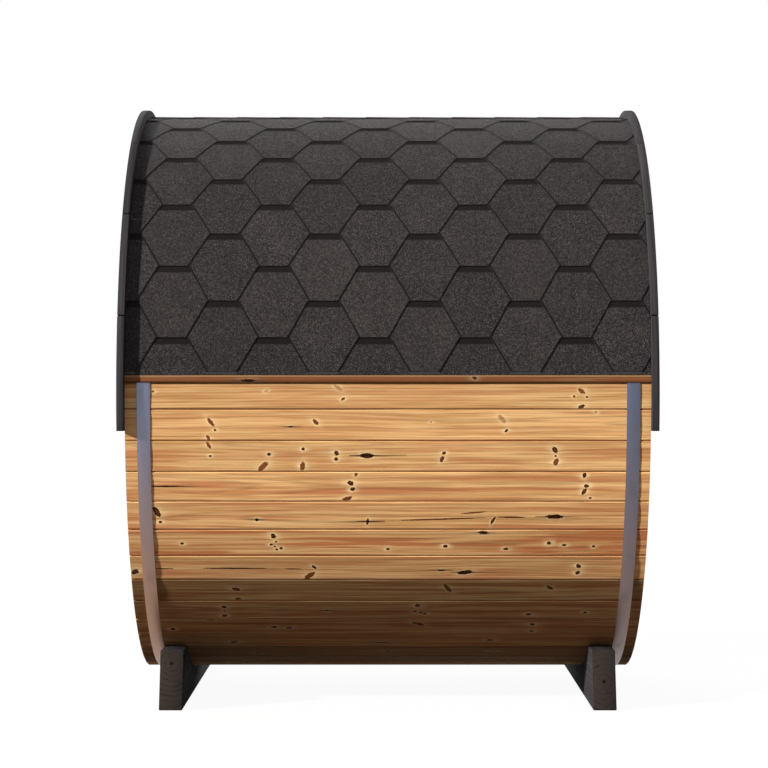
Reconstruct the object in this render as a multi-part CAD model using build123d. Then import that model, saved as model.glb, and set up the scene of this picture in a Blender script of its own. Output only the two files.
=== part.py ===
from build123d import *
import os
from math import cos, radians, sin, sqrt, tan

# A barrel sauna: a lying barrel of wooden staves on two cradle beams, with round end walls
# set in grooves of the staves, two steel bands, a shingle skin over the upper half, curved
# fascia boards on both ends and a closed boarded door in the front wall.
# Millimetres. X runs along the barrel towards the door, Y is across it, Z is up.
# The origin is on the ground under the middle of the barrel. Left and right are as seen by
# someone who stands outside and faces the door, so left is -Y. Clock hours are seen from there too.

# Barrel
BARREL_RADIUS = 1000.0  # to the outer corners where two staves meet
BARREL_LENGTH = 1732.0
AXIS_HEIGHT = 1083.0
STAVE_COUNT = 60
STAVE_THICKNESS = 42.0
STAVE_GAP = 1.0
ARRIS = 3.0  # small bevel along each stave, on its outside
TONGUE_TAPER = 1.0
TONGUE_HALF = 6.0
TONGUE_REACH = 7.0
TONGUE_PLAY = 0.6
STAVES_PER_HOUR = 5

# End walls, held in a groove near each end of the staves
WALL_THICKNESS = 42.0
WALL_MIDDLE = 806.0
GROOVE_DEPTH = 14.0
GROOVE_PLAY = 0.6

# Door, in the front wall
DOOR_CLEAR_WIDTH = 600.0
DOOR_SILL = -800.0  # top of the threshold, from the barrel's axis
DOOR_TOP = 840.0
FRAME_WIDTH = 40.0
FRAME_DEPTH = 54.0
THRESHOLD_DEPTH = 66.0
LEAF_THICKNESS = 40.0
LEAF_GAP = 3.0
LEDGE_THICKNESS = 22.0
LEDGE_HEIGHT = 100.0
LEDGE_WIDTH = 540.0
LEDGE_FROM_END = 200.0  # from the leaf's end to the middle of the ledge
HINGE_HEIGHTS = (-560.0, 20.0, 600.0)
HANDLE_FROM_EDGE = 75.0

# Steel bands, laid by hand over the end walls, so not quite at the same place on both ends
BAND_WIDTH = 44.0
BAND_THICKNESS = 2.2
BAND_MIDDLES = {"front": 808.0, "rear": -804.3}
BAND_CLEARANCE = 0.3  # between a band and the grooves over it
BAND_SIDE_CLEARANCE = 1.0

# Cradle beams
CRADLE_THICKNESS = 80.0
CRADLE_INNER_X = 702.0
CRADLE_HEIGHT = 198.0
CRADLE_HALF_LENGTH = 690.0  # at the ground
CRADLE_TOP_HALF_LENGTH = 625.0

# Fascia boards on the stave ends
FASCIA_THICKNESS = 24.0
FASCIA_OUTER = 1036.0
FASCIA_WIDTH = 100.0
FASCIA_BOARD_ANGLE = 21.2
FASCIA_BOARDS_PER_SIDE = 4
FASCIA_FOOT_ANGLE = 6.8  # how far the lowest boards reach below the axis
FASCIA_JOINT = 3.5

# Shingle skin and the batten that it ends on
EAVE_ANGLE = 3.46
COURSE_ANGLE = 7.07
COURSES_PER_SECTOR = 4
SKIN_INNER = 1000.2
SKIN_BUTT = 1009.5  # radius at the thick lower edge of a course
SKIN_HEAD = 1006.0  # radius where the next course laps over it
RIDGE_INNER = 1008.0
RIDGE_OUTER = 1011.0
RIDGE_HALF_ANGLE = 4.5
BATTEN_HEIGHT = 24.0
BATTEN_DEPTH = 7.0
BATTEN_GAP = 0.2  # to the staves

# Floor
FLOOR_TOP = -805.0
SLAT_THICKNESS = 28.0
SLAT_WIDTH = 108.0
SLAT_GAP = 8.0
SLAT_COUNT = 8
SLAT_LENGTH = 1556.0
BEARER_THICKNESS = 45.0
BEARER_SPACING = 640.0

HALF_LENGTH = BARREL_LENGTH / 2
STAVE_ANGLE = 360.0 / STAVE_COUNT
HALF_STAVE = radians(STAVE_ANGLE / 2)
OUTER_APOTHEM = BARREL_RADIUS * cos(HALF_STAVE)
INNER_APOTHEM = OUTER_APOTHEM - STAVE_THICKNESS
WALL_RADIUS = INNER_APOTHEM + GROOVE_DEPTH - GROOVE_PLAY
WALL_INSIDE = WALL_MIDDLE - WALL_THICKNESS / 2
FRAME_FRONT = WALL_INSIDE + FRAME_DEPTH
FRAME_HALF_WIDTH = DOOR_CLEAR_WIDTH / 2 + FRAME_WIDTH


def on_axis(shape):
    """Lifts what is drawn round the barrel's axis to its height above the ground."""
    return Location((0, 0, AXIS_HEIGHT)) * shape


def turned(shape, clock_angle):
    """Turns a shape from 12 o'clock, clockwise as seen from the door end."""
    return Rotation(-clock_angle, 0, 0) * shape


def along_barrel(face, start, end):
    """Extrudes a face drawn on the cross section, from one X to another."""
    return Location((start, 0, 0)) * extrude(Plane.YZ * face, end - start, dir=(1, 0, 0))


def block(x_range, y_range, z_range):
    """A plain block between two planes each way, with Z from the barrel's axis."""
    size = [high - low for low, high in (x_range, y_range, z_range)]
    middle = [(high + low) / 2 for low, high in (x_range, y_range, z_range)]
    return Location(middle) * Box(*size)


def on_ray(angle, radius):
    """A point of the cross section, at an angle above the horizontal of the right side."""
    return (radius * cos(radians(angle)), radius * sin(radians(angle)))


def write(name, shapes):
    """Writes one or more solids as a node."""
    shapes = [on_axis(shape) for shape in shapes]
    node = shapes[0] if len(shapes) == 1 else Compound(children=shapes)
    export_step(node, f"parts/{name}.step")


# Staves

def stave_edge(side, radius, reach):
    """A point beside the radial joint of a stave at 12 o'clock. Reach is past the joint."""
    return (
        side * (radius * sin(HALF_STAVE) + reach * cos(HALF_STAVE)),
        radius * cos(HALF_STAVE) - reach * sin(HALF_STAVE),
    )


def stave():
    """The stave at 12 o'clock: tongue on the right, groove on the left, wall grooves below."""
    middle = (OUTER_APOTHEM + INNER_APOTHEM) / (2 * cos(HALF_STAVE))
    half_outside = BARREL_RADIUS * sin(HALF_STAVE) - ARRIS
    back = -STAVE_GAP / 2
    half_inside = INNER_APOTHEM * tan(HALF_STAVE) + back / cos(HALF_STAVE)
    groove_half = TONGUE_HALF + TONGUE_PLAY
    groove_reach = -TONGUE_REACH - TONGUE_PLAY
    outline = Polyline(
        (half_outside, OUTER_APOTHEM),
        stave_edge(1, BARREL_RADIUS - ARRIS, back),
        stave_edge(1, middle + TONGUE_HALF, back),
        stave_edge(1, middle + TONGUE_HALF - TONGUE_TAPER, TONGUE_REACH),
        stave_edge(1, middle - TONGUE_HALF + TONGUE_TAPER, TONGUE_REACH),
        stave_edge(1, middle - TONGUE_HALF, back),
        (half_inside, INNER_APOTHEM),
        (-half_inside, INNER_APOTHEM),
        stave_edge(-1, middle - groove_half, back),
        stave_edge(-1, middle - groove_half + TONGUE_TAPER, groove_reach),
        stave_edge(-1, middle + groove_half - TONGUE_TAPER, groove_reach),
        stave_edge(-1, middle + groove_half, back),
        stave_edge(-1, BARREL_RADIUS - ARRIS, back),
        (-half_outside, OUTER_APOTHEM),
        close=True,
    )
    solid = along_barrel(make_face(outline), -HALF_LENGTH, HALF_LENGTH)
    half_groove = (WALL_THICKNESS + GROOVE_PLAY) / 2
    for middle_x in (-WALL_MIDDLE, WALL_MIDDLE):
        solid -= block(
            (middle_x - half_groove, middle_x + half_groove),
            (-2 * half_outside, 2 * half_outside),
            (INNER_APOTHEM - GROOVE_DEPTH, INNER_APOTHEM + GROOVE_DEPTH),
        )
    return solid


# End walls and door

def wall_disc(middle_x):
    """A round end wall that fills its groove."""
    return along_barrel(Circle(WALL_RADIUS), middle_x - WALL_THICKNESS / 2, middle_x + WALL_THICKNESS / 2)


def front_wall_pieces():
    """The front wall beside, over and under the door frame."""
    disc = wall_disc(WALL_MIDDLE)
    x_range = (0, HALF_LENGTH)
    reach = BARREL_RADIUS
    half = FRAME_HALF_WIDTH
    return {
        "front_wall_left": disc & block(x_range, (-reach, -half), (-reach, reach)),
        "front_wall_right": disc & block(x_range, (half, reach), (-reach, reach)),
        "front_wall_over_door": disc & block(x_range, (-half, half), (DOOR_TOP + FRAME_WIDTH, reach)),
        "front_wall_under_door": disc & block(x_range, (-half, half), (-reach, DOOR_SILL - FRAME_WIDTH)),
    }


def door_frame_pieces():
    """Two jambs, with the head on them and the threshold under them."""
    x_range = (WALL_INSIDE, FRAME_FRONT)
    clear = DOOR_CLEAR_WIDTH / 2
    full = (-FRAME_HALF_WIDTH, FRAME_HALF_WIDTH)
    threshold_x = (WALL_INSIDE, WALL_INSIDE + THRESHOLD_DEPTH)
    return {
        "door_jambs": [
            block(x_range, (-FRAME_HALF_WIDTH, -clear), (DOOR_SILL, DOOR_TOP)),
            block(x_range, (clear, FRAME_HALF_WIDTH), (DOOR_SILL, DOOR_TOP)),
        ],
        "door_head": [block(x_range, full, (DOOR_TOP, DOOR_TOP + FRAME_WIDTH))],
        "door_threshold": [block(threshold_x, full, (DOOR_SILL - FRAME_WIDTH, DOOR_SILL))],
    }


def door_pieces():
    """The leaf, flush with the frame outside, with three ledges inside."""
    half = DOOR_CLEAR_WIDTH / 2 - LEAF_GAP
    low, high = DOOR_SILL + LEAF_GAP, DOOR_TOP - LEAF_GAP
    back = FRAME_FRONT - LEAF_THICKNESS
    ledge_heights = (low + LEDGE_FROM_END, (low + high) / 2, high - LEDGE_FROM_END)
    return {
        "door_leaf": [block((back, FRAME_FRONT), (-half, half), (low, high))],
        "door_ledges": [
            block(
                (back - LEDGE_THICKNESS, back),
                (-LEDGE_WIDTH / 2, LEDGE_WIDTH / 2),
                (height - LEDGE_HEIGHT / 2, height + LEDGE_HEIGHT / 2),
            )
            for height in ledge_heights
        ],
    }


def hinge(height):
    """A butt hinge on the outside of the left jamb and the leaf."""
    plate_half, plate_width, plate, knuckle = 45.0, 32.0, 2.5, 6.0
    joint = -DOOR_CLEAR_WIDTH / 2 + LEAF_GAP / 2
    plates = block(
        (FRAME_FRONT, FRAME_FRONT + plate),
        (joint - plate_width, joint + plate_width),
        (height - plate_half, height + plate_half),
    )
    barrel = Location((FRAME_FRONT + knuckle, joint, height)) * Cylinder(knuckle, 2 * plate_half)
    return plates + barrel


def door_handle():
    """A wooden pull on two blocks, on the side away from the hinges."""
    width, grip, stand_off, half, rounding = 30.0, 24.0, 24.0, 160.0, 7.0
    foot_inset, foot_half, foot_narrowing = 45.0, 22.0, 3.0
    middle_y = DOOR_CLEAR_WIDTH / 2 - HANDLE_FROM_EDGE
    y_range = (middle_y - width / 2, middle_y + width / 2)
    front = FRAME_FRONT + stand_off + grip
    bar = block((FRAME_FRONT + stand_off, front), y_range, (-half, half))
    bar = fillet(bar.edges().filter_by(Axis.Z), rounding)
    for middle in (foot_inset - half, half - foot_inset):
        bar += block(
            (FRAME_FRONT, FRAME_FRONT + stand_off + 2),
            (y_range[0] + foot_narrowing, y_range[1] - foot_narrowing),
            (middle - foot_half, middle + foot_half),
        )
    return bar


# Bands, cradles and fascia

def ring(inner, outer, start, end):
    """A round hoop about the barrel's axis."""
    return along_barrel(Circle(outer) - Circle(inner), start, end)


def band(middle_x):
    """A flat steel hoop round all the staves."""
    start = middle_x - BAND_WIDTH / 2
    return ring(BARREL_RADIUS, BARREL_RADIUS + BAND_THICKNESS, start, start + BAND_WIDTH)


def over_bands(solid):
    """Grooves the underside of what lies over both bands."""
    outer = BARREL_RADIUS + BAND_THICKNESS + BAND_CLEARANCE
    half = BAND_WIDTH / 2 + BAND_SIDE_CLEARANCE
    for middle_x in BAND_MIDDLES.values():
        solid -= ring(OUTER_APOTHEM, outer, middle_x - half, middle_x + half)
    return solid


def cradle(inner_x, outer_x):
    """A beam with slanted ends, hollowed on top to the curve of the barrel."""
    top = CRADLE_HEIGHT - AXIS_HEIGHT
    outline = Polyline(
        (-CRADLE_HALF_LENGTH, -AXIS_HEIGHT),
        (CRADLE_HALF_LENGTH, -AXIS_HEIGHT),
        (CRADLE_TOP_HALF_LENGTH, top),
        (-CRADLE_TOP_HALF_LENGTH, top),
        close=True,
    )
    return along_barrel(make_face(outline) - Circle(BARREL_RADIUS), inner_x, outer_x)


def fascia(start, end):
    """Curved boards end to end round the upper half, cut level at both feet."""
    hoop = Circle(FASCIA_OUTER) - Circle(FASCIA_OUTER - FASCIA_WIDTH)
    reach = 2 * FASCIA_OUTER
    foot = FASCIA_OUTER * sin(radians(FASCIA_FOOT_ANGLE))
    above = Pos(0, reach / 2 - foot) * Rectangle(2 * reach, reach)
    joints = [
        -FASCIA_FOOT_ANGLE + FASCIA_BOARD_ANGLE * number for number in range(1, FASCIA_BOARDS_PER_SIDE + 1)
    ]
    angles = joints + [180 - angle for angle in reversed(joints)]
    hoop &= above
    for angle in angles:
        hoop -= Rot(0, 0, angle) * Pos(reach / 2, 0) * Rectangle(reach, FASCIA_JOINT)
    return [along_barrel(face, start, end) for face in hoop.faces()]


# Roof

def skin_sector(first_course):
    """Courses of shingles over the staves on the right side, each lapping over the one below."""
    angles = [
        EAVE_ANGLE + COURSE_ANGLE * (first_course + number) for number in range(COURSES_PER_SECTOR + 1)
    ]
    if first_course + COURSES_PER_SECTOR == 3 * COURSES_PER_SECTOR:
        angles[-1] = 90.0
    points = []
    for low, high in zip(angles, angles[1:]):
        points += [on_ray(low, SKIN_BUTT), on_ray(high, SKIN_HEAD)]
    lapped = Polyline(*points)
    inside = CenterArc((0, 0), SKIN_INNER, angles[0], angles[-1] - angles[0])
    foot = Line(on_ray(angles[0], SKIN_INNER), points[0])
    head = Line(points[-1], on_ray(angles[-1], SKIN_INNER))
    return over_bands(along_barrel(make_face([lapped, inside, foot, head]), -HALF_LENGTH, HALF_LENGTH))


def ridge_cap():
    """The strip that covers the heads of the top courses."""
    inside = CenterArc((0, 0), RIDGE_INNER, 90 - RIDGE_HALF_ANGLE, 2 * RIDGE_HALF_ANGLE)
    outside = CenterArc((0, 0), RIDGE_OUTER, 90 - RIDGE_HALF_ANGLE, 2 * RIDGE_HALF_ANGLE)
    ends = [Line(inside @ place, outside @ place) for place in (0, 1)]
    return along_barrel(make_face([inside, outside, *ends]), -HALF_LENGTH, HALF_LENGTH)


def eave_batten():
    """The right-hand batten under the lowest shingles, notched over the two bands."""
    top = BARREL_RADIUS * sin(radians(EAVE_ANGLE))
    back = OUTER_APOTHEM + BATTEN_GAP
    return over_bands(
        block((-HALF_LENGTH, HALF_LENGTH), (back, back + BATTEN_DEPTH), (top - BATTEN_HEIGHT, top))
    )


# Floor

def floor_slats():
    """Boards along the barrel, side by side."""
    pitch = SLAT_WIDTH + SLAT_GAP
    first = -pitch * (SLAT_COUNT - 1) / 2
    return [
        block(
            (-SLAT_LENGTH / 2, SLAT_LENGTH / 2),
            (first + pitch * number - SLAT_WIDTH / 2, first + pitch * number + SLAT_WIDTH / 2),
            (FLOOR_TOP - SLAT_THICKNESS, FLOOR_TOP),
        )
        for number in range(SLAT_COUNT)
    ]


def floor_bearer(middle_x):
    """A cross bearer shaped to the barrel's inside, flat on top."""
    top = FLOOR_TOP - SLAT_THICKNESS
    radius = INNER_APOTHEM - 0.3
    half_chord = sqrt(radius**2 - top**2)
    arc = ThreePointArc((-half_chord, top), (0, -radius), (half_chord, top))
    face = make_face([arc, Line((half_chord, top), (-half_chord, top))])
    return along_barrel(face, middle_x - BEARER_THICKNESS / 2, middle_x + BEARER_THICKNESS / 2)


os.makedirs("parts", exist_ok=True)

one_stave = stave()
for hour in range(1, 13):
    offsets = [STAVE_ANGLE * (number - STAVES_PER_HOUR // 2) for number in range(STAVES_PER_HOUR)]
    write(f"staves_{hour:02d}_oclock", [turned(one_stave, hour * 30 + offset) for offset in offsets])

for name, piece in front_wall_pieces().items():
    write(name, [piece])
write("rear_wall", [wall_disc(-WALL_MIDDLE)])
for name, pieces in (door_frame_pieces() | door_pieces()).items():
    write(name, pieces)
write("door_hinges", [hinge(height) for height in HINGE_HEIGHTS])
write("door_handle", [door_handle()])

for end, side in (("front", 1), ("rear", -1)):
    write(f"band_{end}", [band(BAND_MIDDLES[end])])
    faces = sorted((side * CRADLE_INNER_X, side * (CRADLE_INNER_X + CRADLE_THICKNESS)))
    write(f"cradle_{end}", [cradle(*faces)])
    faces = sorted((side * HALF_LENGTH, side * (HALF_LENGTH + FASCIA_THICKNESS)))
    write(f"fascia_{end}", fascia(*faces))

right_skin = {
    height: skin_sector(COURSES_PER_SECTOR * number) for number, height in enumerate(("low", "middle", "top"))
}
for height, sector in right_skin.items():
    write(f"shingles_right_{height}", [sector])
    write(f"shingles_left_{height}", [mirror(sector, Plane.XZ)])
write("ridge_cap", [ridge_cap()])
write("eave_batten_right", [eave_batten()])
write("eave_batten_left", [mirror(eave_batten(), Plane.XZ)])

write("floor_slats", floor_slats())
write("floor_bearers", [floor_bearer(middle_x) for middle_x in (-BEARER_SPACING, 0, BEARER_SPACING)])
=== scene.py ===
# %% [markdown]
# # A barrel sauna
# The real thing is a lying barrel of sixty wooden staves on two cradle beams. Steel bands hold the
# staves round two end walls, shingles cover the upper half, and curved fascia boards close its edge.
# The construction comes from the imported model, at its real size. This script makes every surface of
# it: grain, knots and end grain, boarded walls, shingle tabs, steel, screws, and the studio round it.
# Loading comes first, because every later piece takes its place from the loaded nodes.

# %% Load the construction
import random
from collections import namedtuple
from math import asin, atan2, cos, degrees, pi, radians, sin

import bmesh
import bpy
from mathutils import Matrix, Vector


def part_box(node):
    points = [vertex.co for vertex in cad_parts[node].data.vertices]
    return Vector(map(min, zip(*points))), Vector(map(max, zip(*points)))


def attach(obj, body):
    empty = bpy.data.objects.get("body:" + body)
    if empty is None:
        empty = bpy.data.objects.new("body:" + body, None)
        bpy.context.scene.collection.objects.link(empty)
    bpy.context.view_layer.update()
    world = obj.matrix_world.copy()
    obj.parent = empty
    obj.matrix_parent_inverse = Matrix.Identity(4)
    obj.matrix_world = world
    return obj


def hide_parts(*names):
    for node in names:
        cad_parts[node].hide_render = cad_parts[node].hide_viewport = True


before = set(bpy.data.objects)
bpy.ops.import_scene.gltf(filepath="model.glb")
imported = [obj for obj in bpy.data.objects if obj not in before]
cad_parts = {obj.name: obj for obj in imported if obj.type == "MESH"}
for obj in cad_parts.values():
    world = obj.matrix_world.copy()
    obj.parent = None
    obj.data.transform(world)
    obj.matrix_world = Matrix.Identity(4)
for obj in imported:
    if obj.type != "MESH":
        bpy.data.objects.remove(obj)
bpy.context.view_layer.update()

# %% [markdown]
# ## Measures
# X runs along the barrel to the door, Z is up, and the side in the picture faces -Y. Round things are
# drawn about the barrel's axis, so its height, the barrel's radius and its ends are read from the
# nodes once. A place on the round is given by its clock angle, seen from the door end: 12 o'clock is
# the ridge, and the middle of the pictured side is at 9 o'clock.

# %% Measures read from the nodes
def height_of(node):
    """Lowest and highest Z of a node."""
    low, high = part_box(node)
    return low.z, high.z


STAVE_COUNT = 60
STAVE_STEP = 2 * pi / STAVE_COUNT
AXIS = sum(height_of("band_front")) / 2
FACET_RADIUS = height_of("staves_12_oclock")[1] - AXIS
CORNER_RADIUS = FACET_RADIUS / cos(STAVE_STEP / 2)
HALF_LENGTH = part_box("staves_03_oclock")[1].x
ALONG_BARREL = Vector((1, 0, 0))
UP = Vector((0, 0, 1))
SIDES = (("left", -1), ("right", 1))


def outward(angle):
    """The direction away from the axis, at a clock angle."""
    return Vector((0, sin(angle), cos(angle)))


def clockwise(angle):
    """The direction along the round, at a clock angle."""
    return Vector((0, cos(angle), -sin(angle)))


def clock_angle(place):
    """The clock angle of a point, from 0 to a full turn."""
    return atan2(place.y, place.z - AXIS) % (2 * pi)


print(f"axis at {AXIS:.3f} m, radius {CORNER_RADIUS:.3f} m, half length {HALF_LENGTH:.3f} m")

# %% [markdown]
# ## Writing shader maths as plain expressions
# A material could be wired by hand, one Math node after another, but a formula is easier to read. So
# a small class wraps a socket, and adding or multiplying two of them adds the Math node. The
# reflected forms let a plain number stand first, as in 1 - mask. Any other node comes from one
# method that takes its type, then its settings, then its inputs.

# %% A wrapped socket and a finish
class Wire:
    """One output socket. Arithmetic on it adds Math nodes."""

    def __init__(self, finish, socket):
        self.finish = finish
        self.socket = socket

    def __add__(self, other):
        return self.finish.maths("ADD", self, other)

    def __sub__(self, other):
        return self.finish.maths("SUBTRACT", self, other)

    def __rsub__(self, other):
        return self.finish.maths("SUBTRACT", other, self)

    def __mul__(self, other):
        return self.finish.maths("MULTIPLY", self, other)

    def __truediv__(self, other):
        return self.finish.maths("DIVIDE", self, other)

    def __rtruediv__(self, other):
        return self.finish.maths("DIVIDE", other, self)

    def __pow__(self, other):
        return self.finish.maths("POWER", self, other)

    __radd__ = __add__
    __rmul__ = __mul__

    def maths(self, operation):
        return self.finish.maths(operation, self)


class Finish:
    """The nodes of a material, or of another owner of nodes such as the world."""

    def __init__(self, name, owner=None):
        self.owner = owner or bpy.data.materials.new(name)
        self.owner.use_nodes = True
        self.tree = self.owner.node_tree
        self.tree.nodes.clear()

    def node(self, kind, settings=None, inputs=None, output=0):
        made = self.tree.nodes.new(kind)
        for name, value in (settings or {}).items():
            setattr(made, name, value)
        for place, value in (inputs or {}).items():
            if isinstance(value, Wire):
                self.tree.links.new(value.socket, made.inputs[place])
            else:
                made.inputs[place].default_value = value
        return Wire(self, made.outputs[output]) if len(made.outputs) else None

    def maths(self, operation, *values):
        return self.node("ShaderNodeMath", {"operation": operation}, dict(enumerate(values)))

    def vector(self, x, y, z=0.0):
        return self.node("ShaderNodeCombineXYZ", inputs={0: x, 1: y, 2: z})

    def parts(self, vector, count=3):
        return [self.node("ShaderNodeSeparateXYZ", inputs={0: vector}, output=n) for n in range(count)]

    def map(self, name):
        """The two coordinates of a named UV map."""
        return self.parts(self.node("ShaderNodeUVMap", {"uv_map": name}), 2)

    def attribute(self, name):
        """The four numbers of a named colour attribute."""
        colour = self.node("ShaderNodeAttribute", {"attribute_name": name})
        return [*self.parts(colour), self.node("ShaderNodeAttribute", {"attribute_name": name}, output=3)]

    def noise(self, place, scale=1.0, detail=2.0, roughness=0.5, output=0):
        inputs = {"Vector": place, "Scale": scale, "Detail": detail, "Roughness": roughness}
        return self.node("ShaderNodeTexNoise", inputs=inputs, output=output)

    def smooth(self, value, low, high):
        """0 below low, 1 above high, and a smooth step between."""
        inputs = {"Value": value, "From Min": low, "From Max": high}
        return self.node("ShaderNodeMapRange", {"interpolation_type": "SMOOTHSTEP"}, inputs)

    def mix(self, share, first, second):
        """A colour between two, by a share of the second."""
        settings = {"data_type": "RGBA", "clamp_factor": True}
        return self.node("ShaderNodeMix", settings, {0: share, 6: first, 7: second}, output=2)

    def scaled(self, colour, amount):
        """A colour made lighter or darker."""
        return self.node("ShaderNodeVectorMath", {"operation": "SCALE"}, {0: colour, "Scale": amount})

    def bump(self, height, strength=1.0):
        """The normal of a surface whose height is given in metres."""
        inputs = {"Height": height, "Strength": strength, "Distance": 1.0}
        return self.node("ShaderNodeBump", inputs=inputs)

    def surface(self, **inputs):
        """Closes the material with a Principled shader. Underscores stand for spaces."""
        named = {name.replace("_", " "): value for name, value in inputs.items()}
        return self.close(self.node("ShaderNodeBsdfPrincipled", inputs=named))

    def close(self, shader, kind="ShaderNodeOutputMaterial"):
        """Ends the nodes in an output, and returns their owner."""
        self.node(kind, inputs={"Surface": shader})
        return self.owner


def colour(red, green, blue):
    """A colour as the eye reads it, 0 to 255, turned into the linear one that a shader needs."""
    parts = [part / 255 for part in (red, green, blue)]
    return (*[p / 12.92 if p <= 0.04045 else ((p + 0.055) / 1.055) ** 2.4 for p in parts], 1.0)


def toned(shade, amount):
    """A plain colour made lighter or darker."""
    return (*[part * amount for part in shade[:3]], 1.0)


# %% [markdown]
# ## Knotty pine
# Each stave is sawn from a softwood log. Its face shows long pale and deep streaks, growth rings that
# the saw has cut at a shallow angle, and knots that the grain flows round. A photo texture is ruled
# out, so the finish works from four things that every board carries: a map in metres along and
# across the board, a tone of its own, the place of the nearest knot, and the distances to its two
# rims. A small class reads them all once. Most patterns of wood are noise drawn out along the grain,
# so one method of it takes how many features a pattern has in a metre, along the grain and across.

# %% What a board carries
SEED_LAYERS = 40


class Board:
    """The maps and tone of a board, as wires. Lengths are in metres."""

    def __init__(self, finish):
        self.finish = finish
        self.along, self.across = finish.map("board")
        self.near_x, self.near_y = finish.map("knot")
        self.width, self.tilt, self.stretch, self.streak = finish.attribute("knot_form")
        self.light, self.redness, self.seed, self.dark = finish.attribute("tone")
        self.to_lower, self.to_upper = finish.map("rims")
        self.area = self.width * self.width
        self.layer = self.seed * SEED_LAYERS
        self.place = finish.vector(self.along, self.across, self.layer)

    def even_noise(self, rate):
        return self.finish.noise(self.place, rate, 2)

    def line_noise(self, rate):
        """Noise that changes along the board only."""
        return self.finish.noise(self.finish.vector(self.along * rate, self.layer), 1, 1)

    def drawn_out(self, across, rate_along, rate_across, shift=0, detail=2, roughness=0.5):
        """Noise drawn out along the grain. The shift tells one pattern from another."""
        stretched = self.finish.vector(self.along * rate_along, across * rate_across, self.layer + shift)
        return self.finish.noise(stretched, 1, detail, roughness)


# %% [markdown]
# A knot is a branch that the saw has cut, often at a slant, so its outline is an ellipse with a tilt.
# The distance from its middle is counted in knot widths, and the rim is at 1. The grain bends like
# water round a post: the distance across is lessened near the knot by the formula for such a flow.
# Growth rings are a distance from the heart of the log, which wanders below the face.

# %% Knots, the flow of the grain and its rings
HEART_DEPTH = 0.07
RINGS_IN_A_METRE = 110


def knot_distance(board):
    """Distance from the knot in knot widths, along and across its own tilt."""
    cosine, sine = board.tilt.maths("COSINE"), board.tilt.maths("SINE")
    x = (board.near_x * cosine + board.near_y * sine) / board.stretch
    y = board.near_y * cosine - board.near_x * sine
    return (x * x + y * y) ** 0.5 / board.width


def grain_flow(board):
    """The grain's own coordinate across the board, which bends round the knot and wanders."""
    apart = board.near_x * board.near_x * 0.2 + board.near_y * board.near_y
    push = board.near_y * board.area * (apart / board.area * -0.18).maths("EXPONENT")
    wander = board.drawn_out(board.across, 1.3, 3, detail=1) * 0.022
    return board.across - push / (apart + board.area * 0.5) + wander


def late_wood(board, flow, streaks):
    """Where the rings are dark: each one deepens slowly and ends at once."""
    depth = board.line_noise(0.6) * HEART_DEPTH
    off_centre = flow - board.seed * 0.1
    ring = ((off_centre * off_centre + depth * depth) ** 0.5 * RINGS_IN_A_METRE + streaks).maths("FRACT")
    return board.finish.smooth(ring, 0.45, 0.88) * (1 - board.finish.smooth(ring, 0.9, 1.0))


# %% [markdown]
# The wood round a knot is paler, in a round part and a long part along the grain. Some knots leave a
# thin line of resin. The last millimetres at the lower rim of a lying board are painted darker, as
# painted shade in the joint, and its upper rim is painted pale, as a painted highlight.

# %% Halo, resin and rims
RESIN_SHARPNESS = 120000
# painted shade at a board's lower rim and a painted highlight at its upper rim, in metres from the rim
LOWER_RIM_PAINTED_SHADE = (0.0016, 0.006)
UPPER_RIM_PAINTED_HIGHLIGHT = (0.002, 0.0055)


def halo_round(board, distance):
    """How pale the wood is round the knot. Long knots get less of it."""
    soft = (distance * distance * -0.3).maths("EXPONENT")
    fall_along = board.near_x * board.near_x / board.area * -0.07
    fall_across = board.near_y * board.near_y / board.area * 0.35
    glow = soft + (fall_along - fall_across).maths("EXPONENT") * 0.6
    return glow * (board.even_noise(55) * 1.7 - 0.1) * 3 / (board.stretch + 2)


def resin_line(board):
    """A thin wavering line, which fades over the length of the knot's streak."""
    off_line = board.near_y + (board.line_noise(9) - 0.5) * 0.005
    thin = (off_line * off_line * -RESIN_SHARPNESS).maths("EXPONENT")
    far = (board.near_x.maths("ABSOLUTE") / (board.streak + 0.0001) * -1).maths("EXPONENT")
    return thin * far


def near_rim(board, to_rim, fibre, full_and_none):
    """1 at a rim, and nothing a few millimetres from it."""
    return 1 - board.finish.smooth(to_rim + fibre * 0.001, *full_and_none)


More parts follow.
